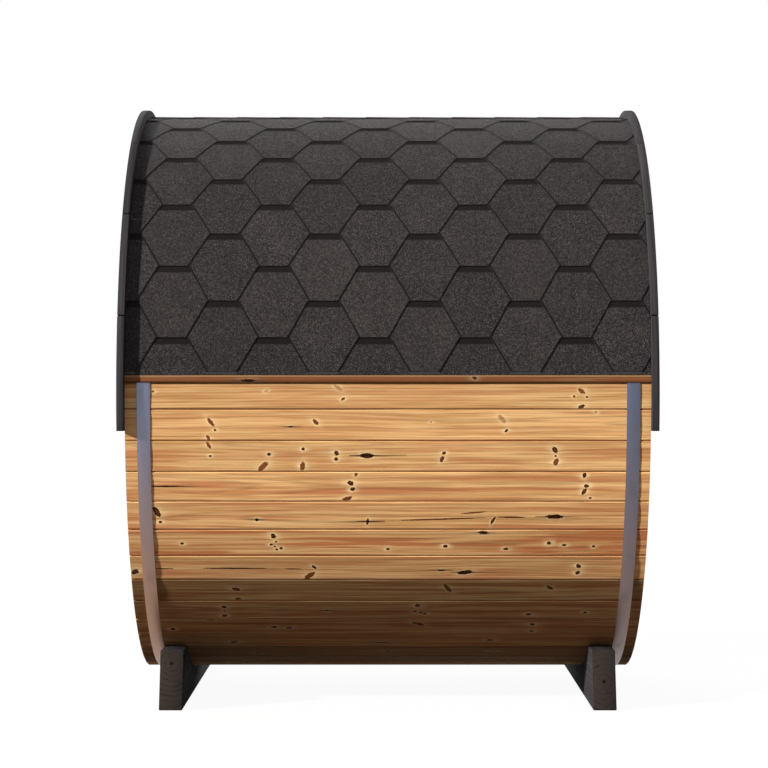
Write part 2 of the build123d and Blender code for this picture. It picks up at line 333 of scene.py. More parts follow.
# %% Pine, seen on its face
def wood(name, pale, deep, red, halo, heart, bark, roughness, gloss, relief=1.0):
    """Long grain with knots. Heart and bark are the colours inside a knot and at its rim."""
    finish = Finish(name)
    board = Board(finish)
    distance = knot_distance(board)
    ragged = distance + (board.even_noise(170) - 0.5) * 0.9
    core = (1 - finish.smooth(ragged, 0.85, 1.15)) * (finish.smooth(board.dark, 0, 0.3) * 0.35 + 0.65)
    flow = grain_flow(board)
    streaks = board.drawn_out(flow, 2.6, 95, detail=3, roughness=0.6)
    bands = board.drawn_out(flow, 1.2, 42, shift=7, detail=3, roughness=0.6)
    hair = board.drawn_out(flow, 3, 240, shift=3, roughness=0.6)
    fibre = board.drawn_out(flow, 24, 700)
    patch = board.drawn_out(board.across, 3, 14, shift=11)
    late = late_wood(board, flow, streaks)

    # streaks, red bands and the halo, then how light it all is, then the knot on top
    face = finish.mix(finish.smooth(streaks, 0.36, 0.66), pale, deep)
    warmed = finish.smooth(bands + (patch - 0.5) * 0.4, 0.44, 0.66) * board.redness
    face = finish.mix(warmed + finish.smooth(board.redness, 1, 4) * 0.7, face, red)
    face = finish.mix(halo_round(board, distance), face, halo)
    lines = fibre * 0.12 + finish.smooth(hair, 0.3, 0.65) * 0.2 - late * 0.2
    face = finish.scaled(face, board.light * (0.78 + lines + patch * 0.16))
    knot = finish.mix(
        finish.smooth(ragged, 0.3, 0.85) * board.dark * 0.5 + board.dark * 0.75, heart, bark,
    )
    face = finish.mix(core, face, knot)

    # resin, then painted shade at the lower rim and a painted highlight at the upper rim
    face = finish.mix(resin_line(board) * 1.4, face, bark)
    face = finish.scaled(face, 1 - near_rim(board, board.to_lower, fibre, LOWER_RIM_PAINTED_SHADE) * 0.7)
    upper_rim_highlight = near_rim(board, board.to_upper, fibre, UPPER_RIM_PAINTED_HIGHLIGHT)
    face = finish.mix(upper_rim_highlight * board.light * 0.7, face, halo)

    height = (streaks * 0.0003 + fibre * 0.00015 - late * 0.00015 + core * 0.0003) * relief
    return finish.surface(
        Base_Color=face,
        Roughness=roughness + late * 0.06 - core * 0.12 + fibre * 0.1,
        Specular_IOR_Level=gloss,
        Normal=finish.bump(height, 0.8),
    )


# %% [markdown]
# One recipe gives both woods of the building. The staves, walls and door are oiled pine. The fascia,
# the cradles and the handle are stained the colour of charcoal, where knots and streaks hardly show
# but the grain stands up more.

# %% The two woods
PINE = wood(
    "pine_face",
    pale=colour(230, 184, 126),
    deep=colour(200, 148, 94),
    red=colour(188, 120, 76),
    halo=colour(244, 210, 154),
    heart=colour(160, 88, 52),
    bark=colour(40, 20, 10),
    roughness=0.7,
    gloss=0.04,
)
STAINED = wood(
    "stained_face",
    pale=colour(62, 59, 61),
    deep=colour(50, 47, 49),
    red=colour(46, 43, 43),
    halo=colour(58, 55, 56),
    heart=colour(40, 36, 34),
    bark=colour(26, 24, 23),
    roughness=0.75,
    gloss=0.01,
    relief=1.6,
)
print("wood seen on its face:", PINE.name, STAINED.name)

# %% [markdown]
# ## End grain
# Where a board is cut across, its growth rings show as arcs, and drying opens small radial checks.
# Rings are a distance from the heart of the log, which lay somewhere below the board. Every board has
# its own heart, from the seed in its tone.

# %% Pine, seen on a cut end
def end_grain(name, pale, deep, roughness, gloss, checks=0.5, rings=240, heart_depth=0.05):
    """Growth rings and checks on a sawn end. Rings is how many there are in a metre."""
    finish = Finish(name)
    across, through = finish.map("board")
    light, _, seed, _ = finish.attribute("tone")
    layer = seed * SEED_LAYERS
    heart_x = across - (seed - 0.5) * 0.12
    heart_y = through + heart_depth
    soft = finish.noise(finish.vector(across, through, layer), 25, 2)
    radius = (heart_x * heart_x + heart_y * heart_y) ** 0.5
    ring = ((radius + soft * 0.008) * rings).maths("FRACT")
    late = finish.smooth(ring, 0.25, 0.8) * (1 - finish.smooth(ring, 0.85, 1.0))
    turn = finish.maths("ARCTAN2", heart_x, heart_y)
    split = finish.noise(finish.vector(turn * 14, radius * 9, layer), 1, 2, 0.7)
    shake = finish.noise(finish.vector(turn * 1.2, radius * 260, layer), 1, 1)
    check = finish.maths("MAXIMUM", finish.smooth(split, 0.68, 0.72), finish.smooth(shake, 0.66, 0.72))
    pith = 1 - finish.smooth(radius, 0.003, 0.007)
    grain = finish.noise(finish.vector(across, through, layer), 900, 2)
    face = finish.mix(late * 0.8 + soft * 0.2, pale, deep)
    face = finish.scaled(face, light * (1 - check * checks) * (1 - pith * 0.8) * (grain * 0.3 + 0.85))
    height = late * 0.0003 - check * 0.001 - pith * 0.001 + grain * 0.0001
    return finish.surface(
        Base_Color=face, Roughness=roughness, Specular_IOR_Level=gloss, Normal=finish.bump(height, 0.8),
    )


PINE_END = end_grain(
    "pine_end", pale=colour(178, 124, 76), deep=colour(122, 76, 44), roughness=0.75, gloss=0.2,
)
STAINED_END = end_grain(
    "stained_end", pale=colour(60, 55, 52), deep=colour(40, 36, 33), roughness=0.85, gloss=0.0, checks=0.8,
)
BEAM_END = end_grain(
    "beam_end", pale=colour(56, 49, 45), deep=colour(52, 45, 41), roughness=0.85, gloss=0.0,
    checks=0.7, rings=60, heart_depth=0.0,
)
print("wood seen on its ends:", PINE_END.name, STAINED_END.name, BEAM_END.name)

# %% [markdown]
# ## Copying a node, and turning a mesh into a piece
# The nodes have the right shape but come as loose triangles with no map on them. A copy is merged and
# its flat faces are joined, so that edges can be bevelled and faces mapped. The finished piece stands
# for its node, names the slot of its finish, and rides on the one body of this building.

# %% Helpers for pieces
BODY = "root"


def copy_of(*nodes):
    """The merged mesh of some nodes, flat faces joined."""
    bm = bmesh.new()
    for node in nodes:
        bm.from_mesh(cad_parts[node].data)
    bmesh.ops.remove_doubles(bm, verts=bm.verts, dist=0.00001)
    bmesh.ops.dissolve_limit(bm, angle_limit=radians(0.5), verts=bm.verts, edges=bm.edges)
    return bm


def soften(bm, width, edges=None, segments=2, sharper_than=radians(25)):
    """Rounds the edges of a piece that meet at a clear angle."""
    edges = bm.edges if edges is None else edges
    sharp = [edge for edge in edges if edge.is_manifold and edge.calc_face_angle(0) > sharper_than]
    bmesh.ops.bevel(
        bm, geom=sharp, offset=width, segments=segments, profile=0.5, affect="EDGES",
        material=-1, clamp_overlap=True,
    )


def piece(name, bm, finishes, stands_for=(), smooth_below=radians(30)):
    """Makes the finished piece from its mesh. Edges that turn more than an angle stay sharp."""
    for face in bm.faces:
        face.smooth = True
    for edge in bm.edges:
        edge.smooth = edge.is_manifold and edge.calc_face_angle(0) < smooth_below
    mesh = bpy.data.meshes.new(name)
    bm.to_mesh(mesh)
    bm.free()
    if "custom_normal" in mesh.attributes:
        mesh.attributes.remove(mesh.attributes["custom_normal"])
    for finish in finishes:
        mesh.materials.append(finish)
    obj = bpy.data.objects.new(name, mesh)
    bpy.context.scene.collection.objects.link(obj)
    if stands_for:
        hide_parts(*stands_for)
    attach(obj, BODY)
    return obj


def verts_in(geometry):
    """The vertices among what an operator returns."""
    return [part for part in geometry if isinstance(part, bmesh.types.BMVert)]


def slice_mesh(bm, point, normal, **sides):
    """Cuts a whole mesh with a plane, and clears a side of it if asked."""
    everything = [*bm.verts, *bm.edges, *bm.faces]
    bmesh.ops.bisect_plane(bm, geom=everything, plane_co=point, plane_no=normal, **sides)


def add_mesh(target, source):
    """Moves one mesh's faces into another."""
    passing = bpy.data.meshes.new("passing")
    source.to_mesh(passing)
    source.free()
    target.from_mesh(passing)
    bpy.data.meshes.remove(passing)


def middle_of(faces):
    """The mean of the corners of some faces."""
    corners = {vert for face in faces for vert in face.verts}
    return sum((vert.co for vert in corners), Vector()) / len(corners)


def boards_in(bm):
    """The separate boards of a mesh, each as a list of its faces, in order of place."""
    left = set(bm.faces)
    boards = []
    while left:
        found = [left.pop()]
        for face in found:
            for edge in face.edges:
                for other in edge.link_faces:
                    if other in left:
                        left.discard(other)
                        found.append(other)
        boards.append(found)
    return sorted(boards, key=lambda faces: [round(part, 4) for part in middle_of(faces)])


# %% [markdown]
# ## Laying the grain
# Every board needs its own map: metres along its grain, metres across it, and end grain on its two
# ends. Each knot owns a rectangle of the face, cut midway between it and its neighbours, and the
# corners of that rectangle carry the distance to the knot. Because the face is flat, the distance is
# exact everywhere in between, and one material can show any number of knots at chosen places. The
# bevelled arrises are painted a little darker than the rest of the board, as painted shade in the joints.

# %% Knots and the boards that carry them
Knot = namedtuple("Knot", "along across half_length half_width tilt dark streak")
NO_KNOT = Knot(90.0, 90.0, 0.001, 0.001, 0.0, 0.0, 0.0)
FACE, END = 0, 1
FACING = 0.95
SLANT = 0.7
ARRIS_SLANTS = (0.5, 0.85)
SHADED_ARRIS = 0.95
LEAST_FALL = 0.1
FAR_FROM_RIMS = (1.0, 1.0)
SEED_SHIFT = 9
EDGE_SHIFT = 0.3


def share_out(bm, faces, knots, axes, origin):
    """Cuts faces until each holds one knot at most. Returns pairs of face and knot."""
    if len(knots) < 2:
        return [(face, knots[0] if knots else NO_KNOT) for face in faces]
    cuts = []
    for side in (0, 1):
        ordered = sorted(knots, key=lambda knot: knot[side])
        for count in range(1, len(ordered)):
            low = max(knot[side] + knot_reach(knot, side) for knot in ordered[:count])
            high = min(knot[side] - knot_reach(knot, side) for knot in ordered[count:])
            cuts.append((high - low, side, (low + high) / 2, ordered[:count], ordered[count:]))
    _, side, middle, below, above = max(cuts, key=lambda cut: cut[0])
    point = origin + axes[side] * middle
    geometry = {part for face in faces for part in (face, *face.edges, *face.verts)}
    cut = bmesh.ops.bisect_plane(bm, geom=list(geometry), plane_co=point, plane_no=axes[side])
    halves = ([], [])
    for face in cut["geom"]:
        if isinstance(face, bmesh.types.BMFace):
            halves[(face.calc_center_median() - point).dot(axes[side]) > 0].append(face)
    return share_out(bm, halves[0], below, axes, origin) + share_out(bm, halves[1], above, axes, origin)


def knot_reach(knot, side):
    """How far a knot reaches along the board, or across it."""
    turned = (cos(knot.tilt), sin(knot.tilt)) if side == 0 else (sin(knot.tilt), cos(knot.tilt))
    return max(abs(turned[0]) * knot.half_length, abs(turned[1]) * knot.half_width)


def lay_grain(bm, axes_at, tone_of, knots_of):
    """Maps every board of a mesh. axes_at gives its directions along and across the grain."""
    board_map = bm.loops.layers.uv.new("board")
    knot_map = bm.loops.layers.uv.new("knot")
    rim_map = bm.loops.layers.uv.new("rims")
    form_layer = bm.loops.layers.float_color.new("knot_form")
    tone_layer = bm.loops.layers.float_color.new("tone")
    for faces in boards_in(bm):
        centre = middle_of(faces)
        along, across, origin = axes_at(centre)
        through = along.cross(across)
        light, redness, seed = tone_of(centre)
        corners = [vert.co - origin for face in faces for vert in face.verts]
        reach = max(abs(corner.dot(along)) for corner in corners)
        half = max(abs(corner.dot(across)) for corner in corners)
        seen = [face for face in faces if face.normal.dot(through) > FACING]
        others = [face for face in faces if face not in seen]
        downward = across * (-1 if across.z > 0 else 1)
        drops = [(vert.co - origin).dot(downward) for face in seen for vert in face.verts]
        has_rims = drops and abs(across.z) > LEAST_FALL
        owned = share_out(bm, seen, knots_of(centre, reach, half), (along, across), origin)
        outside = {face for face, knot in owned}
        for face, knot in owned + [(face, NO_KNOT) for face in others]:
            is_end = abs(face.normal.dot(along)) > SLANT
            face.material_index = END if is_end else FACE
            on_edge = abs(face.normal.dot(across)) > SLANT
            is_arris = not is_end and ARRIS_SLANTS[0] < face.normal.dot(through) < ARRIS_SLANTS[1]
            # the bevelled arrises are painted a little darker, as painted shade in the joint
            shown = light * (SHADED_ARRIS if is_arris else 1)
            by_rims = has_rims and face in outside
            for loop in face.loops:
                x, y, z = [(loop.vert.co - origin).dot(axis) for axis in (along, across, through)]
                if is_end:
                    loop[board_map].uv = (y, z)
                else:
                    loop[board_map].uv = (x + seed * SEED_SHIFT, z + EDGE_SHIFT if on_edge else y)
                loop[knot_map].uv = (x - knot.along, y - knot.across)
                drop = (loop.vert.co - origin).dot(downward)
                to_rims = (max(drops) - drop, drop - min(drops)) if by_rims else FAR_FROM_RIMS
                loop[rim_map].uv = to_rims
                stretch = knot.half_length / knot.half_width
                loop[form_layer] = (knot.half_width, knot.tilt, stretch, knot.streak)
                loop[tone_layer] = (shown, redness, seed, knot.dark)
    return bm


# %% [markdown]
# Boards that the picture doesn't show get knots and tones by chance, from a seeded generator, so
# that each run gives the same building. Three knots in four are nearly round, the rest are long.

# %% Chance knots and tones
chance = random.Random(60)
# at most, for each metre between a board's middle and its end
MOST_KNOTS = 4.5


def any_tone(centre):
    """Light, redness and seed of a board."""
    return chance.uniform(0.86, 1.06), chance.uniform(0.2, 1.0), chance.random()


def any_knots(centre, reach, half):
    """Zero to four knots on a board of any size."""
    knots = []
    for number in range(int(reach * MOST_KNOTS * chance.random() + 0.4)):
        half_width = chance.uniform(0.003, 0.0075)
        knots.append(Knot(
            chance.uniform(-0.94, 0.94) * reach,
            chance.uniform(-0.75, 0.75) * half,
            half_width * chance.choice((1.0, 1.2, 1.5, 2.4)),
            half_width,
            chance.uniform(-1.5, 1.5),
            chance.uniform(0.2, 0.9),
            chance.choice((0, 0, 0, 0.03)),
        ))
    return knots


def no_knots(centre, reach, half):
    return []


# %% [markdown]
# ## The camera
# The picture was taken level, square to the barrel's side, from about nine metres with a long lens.
# The distance and lens come from the way the staves crowd together towards the top and bottom, and
# the height from the row of staves that is seen edge on. It is made before the staves, because the
# pictured knots are placed through it: a ray from the lens through a point of the picture meets a
# stave's face at one place.

# %% Camera
PICTURE = 768
SENSOR = 36.0
PIXELS_PER_TANGENT = 2451
LENS_PLACE = Vector((-0.0128, -9.057, AXIS + 0.0318))
PICTURE_MIDDLE = PICTURE / 2
MILLIMETRE = 0.001

camera = bpy.data.objects.new("camera", bpy.data.cameras.new("camera"))
camera.data.sensor_width = SENSOR
camera.data.lens = PIXELS_PER_TANGENT * SENSOR / PICTURE
camera.location = LENS_PLACE
camera.rotation_euler = (pi / 2, 0, 0)
bpy.context.scene.collection.objects.link(camera)
bpy.context.scene.camera = camera
print(f"lens {camera.data.lens:.1f} mm at {-LENS_PLACE.y:.2f} m")


def seen_on_plane(column, row, origin, along, across):
    """Where a point of the picture lies on a flat face: metres along and across from its origin."""
    ray = Vector((
        (column - PICTURE_MIDDLE) / PIXELS_PER_TANGENT, 1.0, (PICTURE_MIDDLE - row) / PIXELS_PER_TANGENT,
    ))
    facing = along.cross(across)
    place = LENS_PLACE + ray * ((origin - LENS_PLACE).dot(facing) / ray.dot(facing)) - origin
    return place.dot(along), place.dot(across)


def pictured(read, origin, along, across):
    """Knots at places read from the picture, on one flat face."""
    return [
        Knot(
            *seen_on_plane(column, row, origin, along, across), length * MILLIMETRE,
            width * MILLIMETRE, radians(tilt), dark, streak * MILLIMETRE,
        )
        for column, row, length, width, tilt, dark, streak in read
    ]


# %% [markdown]
# ## Staves
# A stave is 42 mm thick, with a tongue and a groove that the node already has, and small bevels where
# two staves meet outside. The copy keeps all of that. The pictured staves get their knots where the
# picture has them, read as a column and a row with a half length and half width in
# millimetres, a tilt in degrees, how dark it is, and the length of a resin streak. The first stave
# below the eave is number 0, at 9 o'clock, and each next one is a step lower.

# %% The pictured knots
PICTURED_KNOTS = {
    0: [(153, 391.5, 5, 4, 0, 0.5, 0), (266, 391, 7, 4, 20, 0.0, 0), (343, 399, 7, 4.5, 30, 0.6, 0),
        (338, 387.8, 17, 5.5, -35, 0.0, 0), (581.5, 406.5, 11, 6, 20, 0.8, 0),
        (581.5, 391, 13, 7, -30, 0.5, 0), (587, 397, 4, 3.5, 0, 0.6, 0), (574, 396.5, 5, 4, 0, 0.3, 0)],
    1: [(210.5, 422, 17, 6, -50, 0.5, 0), (215, 430, 5, 4, 0, 0.6, 0), (208, 437.5, 11, 5, -60, 0.4, 0),
        (290, 426.7, 8, 3, 0, 0.3, 25), (315.5, 422, 12, 6, -42, 0.6, 0), (431, 422, 4, 3, 0, 0.1, 0),
        (502, 419, 17, 7, -48, 0.05, 0), (506.5, 430.7, 7, 4.5, 40, 0.8, 0), (596, 412, 5, 4, 0, 0.1, 0)],
    2: [(208.5, 445, 14, 5, -60, 0.3, 0), (210, 456, 5, 4, 0, 0.7, 0), (269, 454.2, 6.5, 5.5, 0, 0.9, 0),
        (263, 466.4, 21, 9, 42, 0.35, 0), (303, 449, 6, 5.5, 0, 0.9, 0), (302.5, 466.2, 15, 8, 80, 0.4, 0),
        (336.5, 453, 9, 7, -50, 0.9, 0), (336, 459, 7, 6, 30, 0.8, 0), (367, 455.6, 22, 9, 0, 1.0, 90),
        (444, 453, 7, 5, 20, 0.8, 0), (442, 459, 11, 6, 65, 0.7, 0), (555, 450, 12, 8, -65, 0.8, 0),
        (555.5, 456, 4, 3.5, 0, 0.9, 0), (556, 462, 13, 8, 70, 0.4, 0)],
    3: [(356, 474, 9, 5, 80, 0.5, 0), (350.5, 483, 11, 8, -25, 0.9, 0), (352.5, 489, 8, 6.5, 20, 0.9, 0),
        (347.3, 498.4, 17, 6.5, 12, 0.5, 0), (584.5, 475, 10, 6.5, 85, 0.9, 0),
        (586.5, 486, 8, 6.5, 0, 0.8, 0), (584, 491.5, 12, 6.5, 55, 0.7, 0), (590, 498, 6, 4, 0, 0.6, 0),
        (165.5, 486.2, 60, 2.5, 0, 0.5, 60)],
    4: [(156.8, 512, 21, 9, -60, 0.8, 0), (160.5, 522, 6, 5, 0, 0.8, 0), (257, 519.8, 6, 5.5, 0, 0.9, 20),
        (367.5, 521.7, 12, 4.5, 84, 0.7, 80), (443, 519, 140, 2.8, 2, 0.7, 0),
        (474, 512.6, 42, 3, 5, 0.5, 0), (493, 520.5, 16, 4.5, 62, 0.9, 0), (511, 517.2, 46, 3, -1, 0.9, 0),
        (554, 516.6, 28, 8, 0, 1.0, 60)],
    5: [(182, 543.5, 6, 5, 0, 0.8, 0), (273.3, 536, 11, 8, -60, 0.9, 0), (271, 544.5, 6, 4.5, 0, 0.9, 0),
        (276, 541.7, 4.5, 4, 0, 0.9, 0), (274.8, 546.3, 4, 3.5, 0, 0.9, 0), (276.7, 549.3, 5, 4, 0, 0.9, 0),
        (281, 548.2, 6, 5, 30, 0.9, 0), (388, 549, 6, 5, 0, 0.8, 0), (445.3, 546.2, 8, 6.5, 0, 0.9, 0),
        (483, 532.6, 16, 7, 0, 0.7, 30), (506, 548.8, 9, 5, 0, 0.8, 0), (548.7, 543, 8, 7, 0, 0.9, 0),
        (564.2, 545, 8, 5, 0, 0.9, 0), (593.5, 546.3, 6, 4.5, 0, 0.8, 0)],
    6: [(135, 571.5, 14, 10, 35, 0.8, 0), (163, 568.6, 35, 2.6, 0, 0.8, 0),
        (234, 568.3, 110, 2.8, 0, 0.9, 40), (293, 568.8, 28, 2.6, -2, 0.7, 0),
        (314, 567, 10, 5, -50, 0.9, 0), (309.5, 575.5, 24, 9, 42, 0.3, 0),
        (441, 570.2, 14, 4, 0, 0.8, 30), (465, 572.3, 25, 9, 8, 0.95, 60), (578.5, 566, 9, 8, -40, 0.9, 0),
        (577.5, 572.5, 9, 7, 30, 0.8, 0)],
    7: [(236, 589, 14, 7, -15, 0.9, 0), (238, 598.5, 11, 5.5, 0, 0.8, 0), (447.3, 588, 22, 7, -55, 0.7, 0),
        (549.5, 587.5, 15, 6, -40, 0.8, 0)],
    8: [(224, 607, 9, 6.5, 0, 0.9, 0), (224.5, 615.5, 9, 6.5, 0, 0.9, 0), (417.4, 605.5, 9, 8, 0, 0.9, 0),
        (414.5, 611.5, 7, 5, 0, 0.9, 0), (420.5, 612.5, 7, 5, 0, 0.9, 0), (424.6, 613.5, 6, 5, 0, 0.9, 0),
        (224.7, 611, 5, 4, 0, 0.9, 0), (327, 610.5, 6, 4.5, 0, 0.8, 20), (528.5, 614.3, 10, 6, 0, 0.9, 0),
        (585, 612.5, 7, 5.5, 0, 0.9, 0)],
    9: [(211, 619.5, 16, 7, 0, 0.8, 20), (173, 629, 9, 6.5, 0, 0.8, 0), (274, 627, 10, 7, 0, 0.9, 0),
        (289, 628, 10, 6, 0, 0.8, 0), (418.2, 623.7, 22, 8, -25, 0.8, 0), (532.2, 624.4, 8, 8, 0, 0.9, 0),
        (531.5, 631, 8, 7, 0, 0.9, 0)],
    10: [(234, 642, 14, 9, 30, 0.9, 0), (382.5, 642.5, 24, 6, 0, 0.9, 40), (490, 640, 13, 8, 0, 0.9, 0)],
    11: [(257.5, 653, 10, 8, 0, 0.9, 0), (320, 651, 22, 6, 0, 0.9, 30), (388, 651, 10, 8, 0, 0.9, 0),
         (493, 651, 12, 9, 0, 0.9, 0)],
}
# light and redness of the pictured staves, from the one below the eave downwards. The light holds painted
# light and shade: it rises down to the seventh stave, and the eighth and the two lowest are painted darker.
PICTURED_TONES_WITH_PAINTED_LIGHT = [(0.91, 0.4), (1.07, 0.4), (1.1, 0.7), (1.28, 0.9), (1.34, 0.8), (1.42, 1.9),
                  (1.5, 0.7), (0.62, 0.9), (0.93, 0.9), (1.12, 0.9), (1.02, 0.9), (0.5, 0.9), (0.38, 0.9)]
NINE_OCLOCK = 3 * pi / 2
print(sum(map(len, PICTURED_KNOTS.values())), "knots on", len(PICTURED_KNOTS), "pictured staves")


def stave_below_eave(centre):
    """How many staves below 9 o'clock a point lies. The other side gives a number out of range."""
    return round((NINE_OCLOCK - clock_angle(centre)) / STAVE_STEP)


def stave_axes(centre):
    angle = round(clock_angle(centre) / STAVE_STEP) * STAVE_STEP
    return ALONG_BARREL, clockwise(angle), Vector((0, 0, AXIS)) + outward(angle) * FACET_RADIUS


def stave_tone(centre):
    light, redness, seed = any_tone(centre)
    number = stave_below_eave(centre)
    # the pictured staves take tones that hold painted light and painted shade
    if 0 <= number < len(PICTURED_TONES_WITH_PAINTED_LIGHT):
        light, redness = PICTURED_TONES_WITH_PAINTED_LIGHT[number]
    return light, redness, seed


def stave_knots(centre, reach, half):
    number = stave_below_eave(centre)
    if number not in PICTURED_KNOTS:
        return any_knots(centre, reach, half)
    along, across, origin = stave_axes(centre)
    return pictured(PICTURED_KNOTS[number], origin, along, across)


# %% Staves
for hour in range(1, 13):
    node = f"staves_{hour:02d}_oclock"
    staves = lay_grain(copy_of(node), stave_axes, stave_tone, stave_knots)
    made = piece(f"pine_staves_{hour:02d}", staves, [PINE, PINE_END], [node])
    if hour == 8:
        print(made.name, len(made.data.polygons), "faces")

# %% [markdown]
# ## End walls, door frame and door
# The walls are boards about 95 mm wide, set upright in the grooves of the staves, with a V where two
# boards meet. The node is one plain disc, so a copy is cut into strips by two planes at a time, the
# cuts are closed, and the long edges at each joint are bevelled to make the V.

# %% Cutting a plate into boards
BOARD_WIDTH = 0.095
JOINT = 0.0006
V_WIDTH = 0.004


def cut_into_boards(plate, joints):
    """Upright boards from a plate that faces X, cut at the given places along Y."""
    boards = bmesh.new()
    across = Vector((0, 1, 0))
    for low, high in zip(joints, joints[1:]):
        strip = plate.copy()
        for place, keep_above in ((low + JOINT / 2, True), (high - JOINT / 2, False)):
            slice_mesh(
                strip, across * place, across, clear_inner=keep_above, clear_outer=not keep_above,
            )
            open_edges = [edge for edge in strip.edges if edge.is_boundary]
            bmesh.ops.holes_fill(strip, edges=open_edges)
        add_mesh(boards, strip)
    plate.free()
    long_edges = [
        edge for edge in boards.edges
        if edge.is_manifold and edge.calc_face_angle(0) > radians(80)
        and abs((edge.verts[1].co - edge.verts[0].co).normalized().z) > 0.99
    ]
    soften(boards, V_WIDTH, long_edges, segments=1)
    return boards


def places_between(low, high, width):
    """Joints about one board width apart."""
    count = max(round((high - low) / width), 1)
    return [low + (high - low) * number / count for number in range(count + 1)]


def upright_axes(side):
    """Grain runs up. The seen face looks to the given side along X."""
    across = Vector((0, -side, 0))

    def axes(centre):
        return UP, across, Vector(centre)

    return axes


# %% Walls
FRONT, BACK = 1, -1
MARGIN = 0.001


def rear_tone(centre):
    """The raking lamp falls full on the rear wall, so its boards are toned darker."""
    return chance.uniform(0.6, 0.74), chance.uniform(0.2, 1.0), chance.random()


for node, side in (("front_wall_left", FRONT), ("front_wall_right", FRONT), ("front_wall_over_door", FRONT),
                   ("front_wall_under_door", FRONT), ("rear_wall", BACK)):
    low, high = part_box(node)
    joints = places_between(low.y - MARGIN, high.y + MARGIN, BOARD_WIDTH)
    boards = cut_into_boards(copy_of(node), joints)
    lay_grain(boards, upright_axes(side), any_tone if side == FRONT else rear_tone, any_knots)
    made = piece(f"{node}_boards", boards, [PINE, PINE_END], [node])
    print(made.name, len(joints) - 1, "boards")

# %% [markdown]
# The door hangs in a plain frame: two jambs, a head and a threshold. The leaf is boards on three
# ledges, which show only from inside. A bevel of two millimetres takes the sharp edge off the frame
# and the ledges, as a plane does.

# %% Door frame and leaf
EASED = 0.002
FINELY_EASED = 0.0015
LEAF_BOARD_WIDTH = 0.1


def level_axes(centre):
    """Grain runs along Y. The seen face looks along +X."""
    return Vector((0, 1, 0)), UP, Vector(centre)


for node, axes in (("door_jambs", upright_axes(FRONT)), ("door_head", level_axes),
                   ("door_threshold", level_axes), ("door_ledges", level_axes)):
    timber = copy_of(node)
    soften(timber, EASED)
    lay_grain(timber, axes, any_tone, any_knots)
    piece(f"{node}_pine", timber, [PINE, PINE_END], [node])

low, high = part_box("door_leaf")
joints = places_between(low.y - MARGIN, high.y + MARGIN, LEAF_BOARD_WIDTH)
leaf = cut_into_boards(copy_of("door_leaf"), joints)
lay_grain(leaf, upright_axes(FRONT), any_tone, any_knots)
made = piece("door_leaf_boards", leaf, [PINE, PINE_END], ["door_leaf"])
print(made.name, len(joints) - 1, "boards")

handle = copy_of("door_handle")
soften(handle, FINELY_EASED, segments=1, sharper_than=radians(60))
lay_grain(handle, upright_axes(FRONT), any_tone, no_knots)
piece("door_handle_stained", handle, [STAINED, STAINED_END], ["door_handle"])

# %% [markdown]
# ## Metal
# Three metals show: satin steel bands, black hinges and small dark screws. Steel strip is rolled, so
# its fine lines run along the strip. The lines come from noise that is stretched along the round,
# which needs the strip's own map, laid below when the band is bent.

# %% Metal finishes
def strip_steel(name, cool_painted_reflection, warm_painted_reflection, worn):
    """Rolled strip: fine lines along it, a few dull patches, and a painted reflection, cool at mid height
    and warm below.
    """
    finish = Finish(name)
    along, across = finish.map("strip")
    # painted reflection: a cool colour at mid height and a warm one towards the bottom of the round
    height = (along / CORNER_RADIUS).maths("COSINE")
    shade = finish.mix(finish.smooth(height, -0.8, 0.05), warm_painted_reflection, cool_painted_reflection)
    lines = finish.noise(finish.vector(along * 3, across * 700), 1, 3, 0.6)
    patches = finish.noise(finish.vector(along * 9, across * 20), 1, 3, 0.6)
    dull = finish.smooth(patches, 0.5, 0.75)
    face = finish.mix(dull * 0.4 + lines * 0.2, shade, worn)
    return finish.surface(
        Base_Color=face,
        Metallic=0.85,
        Roughness=0.36 + lines * 0.12 + dull * 0.14,
        Normal=finish.bump(lines * 0.00006 + patches * 0.00025),
    )


def black_steel(name, face, scuffed):
    """Powder coat with a fine orange peel, scuffed a little."""
    finish = Finish(name)
    place = finish.node("ShaderNodeTexCoord", output="Object")
    peel = finish.noise(place, 900, 2)
    scuff = finish.smooth(finish.noise(place, 60, 4, 0.65), 0.55, 0.75)
    return finish.surface(
        Base_Color=finish.mix(scuff * 0.5, face, scuffed),
        Metallic=0.3,
        Roughness=0.42 + scuff * 0.2 + peel * 0.08,
        Normal=finish.bump(peel * 0.00004),
    )


# one steel in two copies: the rear band's colours are painted lighter, as painted light, and the front
# band's darker, as painted shade
PAINTED_LIT_STRIP = strip_steel(
    "strip_painted_lit", cool_painted_reflection=colour(112, 119, 142), warm_painted_reflection=colour(164, 126, 102), worn=colour(112, 104, 100),
)
PAINTED_SHADED_STRIP = strip_steel(
    "strip_painted_shaded", cool_painted_reflection=colour(92, 98, 120), warm_painted_reflection=colour(128, 108, 102), worn=colour(90, 86, 88),
)
BLACK = black_steel("hinge_black", face=colour(34, 34, 36), scuffed=colour(58, 56, 54))
print("metal finishes:", PAINTED_LIT_STRIP.name, PAINTED_SHADED_STRIP.name, BLACK.name)

# %% [markdown]
# ## Bands
# The strip is stiff enough to stay round. It rests on the corners where staves meet and stands a
# little off the middle of each, where it throws a small scalloped shadow. So its cross section is
# spun round the barrel in short steps, and its long edges are rounded as rolled strip is.

# %% Bands
LIFT = 0.0001
RIM_ROUNDING = 0.0006
STEPS_PER_STAVE = 4


